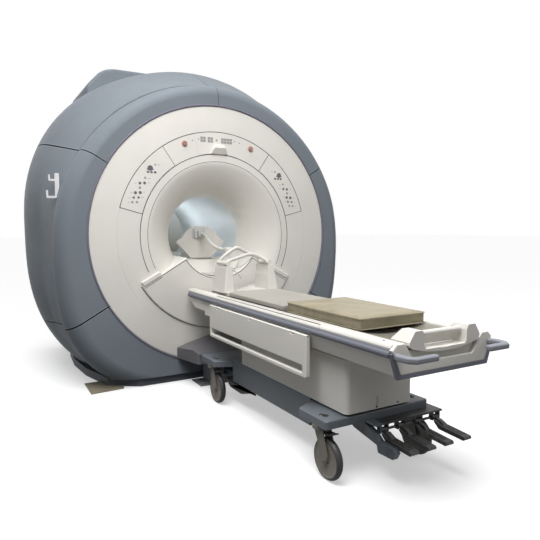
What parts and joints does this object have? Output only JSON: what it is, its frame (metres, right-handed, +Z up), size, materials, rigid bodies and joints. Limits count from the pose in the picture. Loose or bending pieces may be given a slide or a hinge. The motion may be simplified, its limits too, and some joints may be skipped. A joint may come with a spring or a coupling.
{
  "type": "mri scanner",
  "caption": "Whole-body magnetic resonance scanner with a trumpet mouth and closed covers, and a low patient table docked in front, with cradle, pads, head coil, pedals and casters.",
  "frame": {"origin": "on the floor, at the middle of the whole footprint of gantry and docked table", "axes": "+Z up, +Y from the table into the bore, +X to the right when looking into the bore"},
  "size_m": [2.4581, 3.923, 2.415],
  "materials": {
    "cream_cover": "warm off-white moulded cover, satin",
    "slate_cover": "slate blue-grey painted cover, satin",
    "plinth_grey": "dark grey paint, matt",
    "floor_beige": "beige paint, matt",
    "liner_white": "cool white, slightly glossy",
    "deck_cream": "cream, satin",
    "keypad_film": "cream key film with plain dark marks",
    "button_brown": "reddish brown, glossy",
    "hook_white": "white, glossy",
    "magnet_paint": "light grey paint",
    "coil_resin": "amber resin",
    "foot_steel": "grey paint",
    "dock_mauve": "dark mauve grey, satin",
    "bumper_blue": "blue-grey, matt",
    "table_cream": "warm off-white, satin",
    "cradle_grey": "light warm grey, satin",
    "base_paint": "blue-grey paint, satin",
    "steel": "brushed",
    "shroud_black": "black, matt",
    "pedal_black": "near black, matt, ribbed",
    "wheel_taupe": "taupe grey, satin",
    "pad_grey": "light warm grey coated cloth",
    "cushion_olive": "tan-olive vinyl, creased",
    "coil_shell": "off-white, slightly glossy",
    "lead_sheath": "white flexible sheath",
    "plug_grey": "light grey",
    "handle_grey": "mid grey, satin"
  },
  "bodies": {
    "gantry": {"front_cover": "cream_cover", "lower_front_panel": "cream_cover", "front_rings": "slate_cover", "lower_skirts": "slate_cover", "shoulder_covers": "slate_cover", "side_covers": "slate_cover", "turret_cover": "slate_cover", "rear_cover": "cream_cover", "plinth": "plinth_grey", "floor_plates": "floor_beige", "bore_liner": "liner_white", "bore_bridge": "deck_cream", "control_panels": "keypad_film", "alignment_light": "cream_cover", "magnet_vessel": "magnet_paint", "gradient_coil": "coil_resin", "magnet_feet": "foot_steel", "dock_cover": "dock_mauve", "dock_latch": "foot_steel", "cable_hook": "hook_white"},
    "stop_button_left": {"stop_button_left": "button_brown"},
    "stop_button_right": {"stop_button_right": "button_brown"},
    "carriage": {"carriage_tower": "liner_white"},
    "table_base": {"base_frame": "base_paint", "pedestal_cover": "table_cream", "drive_shroud": "shroud_black", "pedal_bracket": "shroud_black"},
    "table_top": {"table_frame": "table_cream", "table_rails": "table_cream", "bumpers": "bumper_blue", "end_plate": "table_cream", "handles": "handle_grey", "panel_hinges": "steel", "lift_column": "table_cream"},
    "side_panel_left": {"side_panel_left": "table_cream"},
    "side_panel_right": {"side_panel_right": "table_cream"},
    "cradle": {"cradle_board": "cradle_grey", "grip_unit": "table_cream", "thin_pad": "pad_grey", "box_cushion": "cushion_olive", "coil_base": "coil_shell", "coil_cage": "coil_shell", "coil_lead": "lead_sheath", "lead_plug": "plug_grey"},
    "pedal_1": {"pedal_1": "pedal_black"},
    "pedal_2": {"pedal_2": "pedal_black"},
    "pedal_3": {"pedal_3": "pedal_black"},
    "pedal_4": {"pedal_4": "pedal_black"},
    "caster_foot_left": {"caster_fork_foot_left": "wheel_taupe"},
    "wheel_foot_left": {"caster_wheel_foot_left": "wheel_taupe"},
    "brake_foot_left": {"brake_lever_foot_left": "shroud_black"},
    "caster_foot_right": {"caster_fork_foot_right": "wheel_taupe"},
    "wheel_foot_right": {"caster_wheel_foot_right": "wheel_taupe"},
    "brake_foot_right": {"brake_lever_foot_right": "shroud_black"},
    "caster_head_left": {"caster_fork_head_left": "wheel_taupe"},
    "wheel_head_left": {"caster_wheel_head_left": "wheel_taupe"},
    "brake_head_left": {"brake_lever_head_left": "shroud_black"},
    "caster_head_right": {"caster_fork_head_right": "wheel_taupe"},
    "wheel_head_right": {"caster_wheel_head_right": "wheel_taupe"},
    "brake_head_right": {"brake_lever_head_right": "shroud_black"}
  },
  "joints": [
    {"name": "stop_button_left_press", "type": "slide", "parent": "gantry", "child": "stop_button_left", "axis": [0, 1, 0], "range_m": [0, 0.004], "stiffness_N_per_m": 800, "springref_m": -0.002},
    {"name": "stop_button_right_press", "type": "slide", "parent": "gantry", "child": "stop_button_right", "axis": [0, 1, 0], "range_m": [0, 0.004], "stiffness_N_per_m": 800, "springref_m": -0.002},
    {"name": "cradle_slide", "type": "slide", "parent": "table_top", "child": "cradle", "axis": [0, 1, 0], "range_m": [0, 0.12]},
    {"name": "carriage_travel", "type": "slide", "parent": "gantry", "child": "carriage", "axis": [0, 1, 0], "range_m": [0, 0.12]},
    {"name": "table_undock", "type": "slide", "parent": "gantry", "child": "table_base", "axis": [0, -1, 0], "range_m": [0, 1.5]},
    {"name": "table_lift", "type": "slide", "parent": "table_base", "child": "table_top", "axis": [0, 0, 1], "range_m": [0, 0.2]},
    {"name": "side_panel_left_swing", "type": "hinge", "parent": "table_top", "child": "side_panel_left", "pos_m": [-0.2845, -0.7685, 0.618], "axis": [0, 1, 0], "range_deg": [0, 90]},
    {"name": "side_panel_right_swing", "type": "hinge", "parent": "table_top", "child": "side_panel_right", "pos_m": [0.2845, -0.7685, 0.618], "axis": [0, -1, 0], "range_deg": [0, 90]},
    {"name": "pedal_1_press", "type": "hinge", "parent": "table_base", "child": "pedal_1", "pos_m": [-0.022, -1.5365, 0.205], "axis": [1, 0, 0], "range_deg": [0, 12], "stiffness_Nm_per_rad": 4, "springref_deg": -5.73},
    {"name": "pedal_2_press", "type": "hinge", "parent": "table_base", "child": "pedal_2", "pos_m": [0.082, -1.5365, 0.205], "axis": [1, 0, 0], "range_deg": [0, 12], "stiffness_Nm_per_rad": 4, "springref_deg": -5.73},
    {"name": "pedal_3_press", "type": "hinge", "parent": "table_base", "child": "pedal_3", "pos_m": [0.19, -1.5365, 0.205], "axis": [1, 0, 0], "range_deg": [0, 12], "stiffness_Nm_per_rad": 4, "springref_deg": -5.73},
    {"name": "pedal_4_press", "type": "hinge", "parent": "table_base", "child": "pedal_4", "pos_m": [0.305, -1.5365, 0.205], "axis": [1, 0, 0], "range_deg": [0, 12], "stiffness_Nm_per_rad": 4, "springref_deg": -5.73},
    {"name": "caster_foot_left_swivel", "type": "hinge", "parent": "table_base", "child": "caster_foot_left", "pos_m": [-0.268, -1.4085, 0.23], "axis": [0, 0, 1], "continuous": true},
    {"name": "wheel_foot_left_spin", "type": "hinge", "parent": "caster_foot_left", "child": "wheel_foot_left", "pos_m": [-0.268, -1.4585, 0.095], "axis": [1, 0, 0], "continuous": true},
    {"name": "brake_foot_left_press", "type": "hinge", "parent": "caster_foot_left", "child": "brake_foot_left", "pos_m": [-0.268, -1.4495, 0.209], "axis": [1, 0, 0], "range_deg": [0, 8]},
    {"name": "caster_foot_right_swivel", "type": "hinge", "parent": "table_base", "child": "caster_foot_right", "pos_m": [0.268, -1.4085, 0.23], "axis": [0, 0, 1], "continuous": true},
    {"name": "wheel_foot_right_spin", "type": "hinge", "parent": "caster_foot_right", "child": "wheel_foot_right", "pos_m": [0.268, -1.4585, 0.095], "axis": [1, 0, 0], "continuous": true},
    {"name": "brake_foot_right_press", "type": "hinge", "parent": "caster_foot_right", "child": "brake_foot_right", "pos_m": [0.268, -1.4495, 0.209], "axis": [1, 0, 0], "range_deg": [0, 8]},
    {"name": "caster_head_left_swivel", "type": "hinge", "parent": "table_base", "child": "caster_head_left", "pos_m": [-0.268, -0.2285, 0.23], "axis": [0, 0, 1], "continuous": true},
    {"name": "wheel_head_left_spin", "type": "hinge", "parent": "caster_head_left", "child": "wheel_head_left", "pos_m": [-0.268, -0.2785, 0.095], "axis": [1, 0, 0], "continuous": true},
    {"name": "brake_head_left_press", "type": "hinge", "parent": "caster_head_left", "child": "brake_head_left", "pos_m": [-0.268, -0.2695, 0.209], "axis": [1, 0, 0], "range_deg": [0, 8]},
    {"name": "caster_head_right_swivel", "type": "hinge", "parent": "table_base", "child": "caster_head_right", "pos_m": [0.268, -0.2285, 0.23], "axis": [0, 0, 1], "continuous": true},
    {"name": "wheel_head_right_spin", "type": "hinge", "parent": "caster_head_right", "child": "wheel_head_right", "pos_m": [0.268, -0.2785, 0.095], "axis": [1, 0, 0], "continuous": true},
    {"name": "brake_head_right_press", "type": "hinge", "parent": "caster_head_right", "child": "brake_head_right", "pos_m": [0.268, -0.2695, 0.209], "axis": [1, 0, 0], "range_deg": [0, 8]}
  ],
  "couplings": [
    {"joint": "carriage_travel", "follows": "cradle_slide", "ratio": 1}
  ]
}
